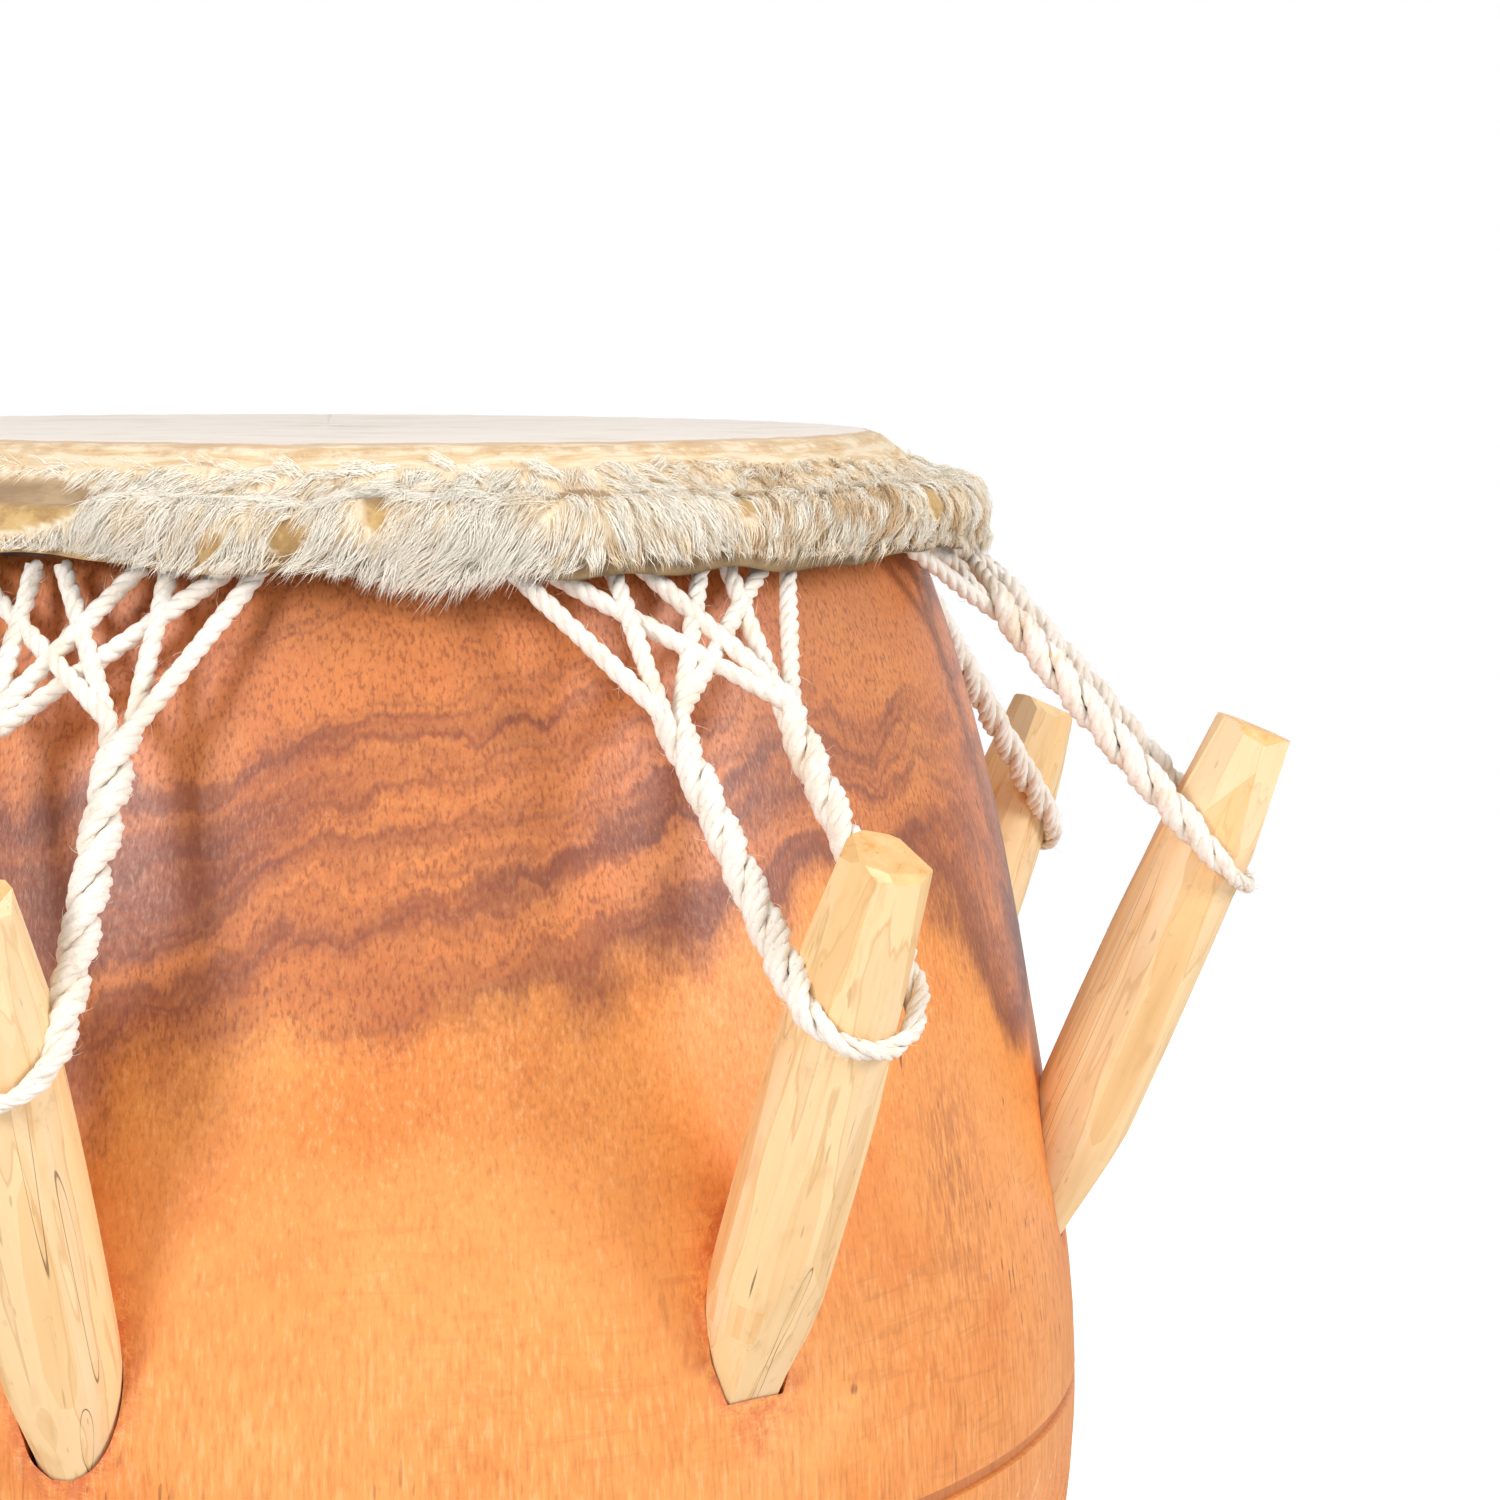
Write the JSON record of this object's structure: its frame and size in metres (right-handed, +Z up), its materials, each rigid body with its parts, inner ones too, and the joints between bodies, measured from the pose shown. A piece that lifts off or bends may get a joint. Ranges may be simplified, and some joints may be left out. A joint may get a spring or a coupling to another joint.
{
  "type": "kpanlogo",
  "caption": "Pegged hand drum: carved hollow log shell, hair-on skin folded over an iron hoop, twisted cord lacing hung on driven wooden pegs.",
  "frame": {"origin": "centre of the foot's flat underside", "axes": "+Z up along the drum's axis to the head, -Y towards the viewer"},
  "size_m": [0.4232, 0.4214, 0.635],
  "materials": {
    "carved_wood": "oiled satin, brown banded",
    "goat_skin": "scraped pale head with hair left on the fold",
    "iron_hoop": "bare round iron rod",
    "peg_wood": "raw, knife cut",
    "cotton_cord": "laid white cotton cord, slightly soiled"
  },
  "bodies": {
    "shell": {"shell": "carved_wood", "drum_skin": "goat_skin", "hoop": "iron_hoop", "lacing_1": "cotton_cord", "lacing_2": "cotton_cord", "lacing_3": "cotton_cord", "lacing_4": "cotton_cord", "lacing_5": "cotton_cord", "lacing_6": "cotton_cord", "lacing_7": "cotton_cord", "lacing_8": "cotton_cord"},
    "peg_1": {"peg_1": "peg_wood"},
    "peg_2": {"peg_2": "peg_wood"},
    "peg_3": {"peg_3": "peg_wood"},
    "peg_4": {"peg_4": "peg_wood"},
    "peg_5": {"peg_5": "peg_wood"},
    "peg_6": {"peg_6": "peg_wood"},
    "peg_7": {"peg_7": "peg_wood"},
    "peg_8": {"peg_8": "peg_wood"}
  },
  "joints": [
    {"name": "peg_1_drive", "type": "slide", "parent": "shell", "child": "peg_1", "axis": [-0.1135, -0.3688, 0.9225], "range_m": [-0.004, 0.008], "deforming": ["lacing_1"]},
    {"name": "peg_2_drive", "type": "slide", "parent": "shell", "child": "peg_2", "axis": [0.1818, -0.3404, 0.9225], "range_m": [-0.004, 0.008], "deforming": ["lacing_2"]},
    {"name": "peg_3_drive", "type": "slide", "parent": "shell", "child": "peg_3", "axis": [0.3704, -0.1083, 0.9225], "range_m": [-0.004, 0.008], "deforming": ["lacing_3"]},
    {"name": "peg_4_drive", "type": "slide", "parent": "shell", "child": "peg_4", "axis": [0.3442, 0.1746, 0.9225], "range_m": [-0.004, 0.008], "deforming": ["lacing_4"]},
    {"name": "peg_5_drive", "type": "slide", "parent": "shell", "child": "peg_5", "axis": [0.1135, 0.3688, 0.9225], "range_m": [-0.004, 0.008], "deforming": ["lacing_5"]},
    {"name": "peg_6_drive", "type": "slide", "parent": "shell", "child": "peg_6", "axis": [-0.1818, 0.3404, 0.9225], "range_m": [-0.004, 0.008], "deforming": ["lacing_6"]},
    {"name": "peg_7_drive", "type": "slide", "parent": "shell", "child": "peg_7", "axis": [-0.3704, 0.1083, 0.9225], "range_m": [-0.004, 0.008], "deforming": ["lacing_7"]},
    {"name": "peg_8_drive", "type": "slide", "parent": "shell", "child": "peg_8", "axis": [-0.3442, -0.1746, 0.9225], "range_m": [-0.004, 0.008], "deforming": ["lacing_8"]}
  ]
}
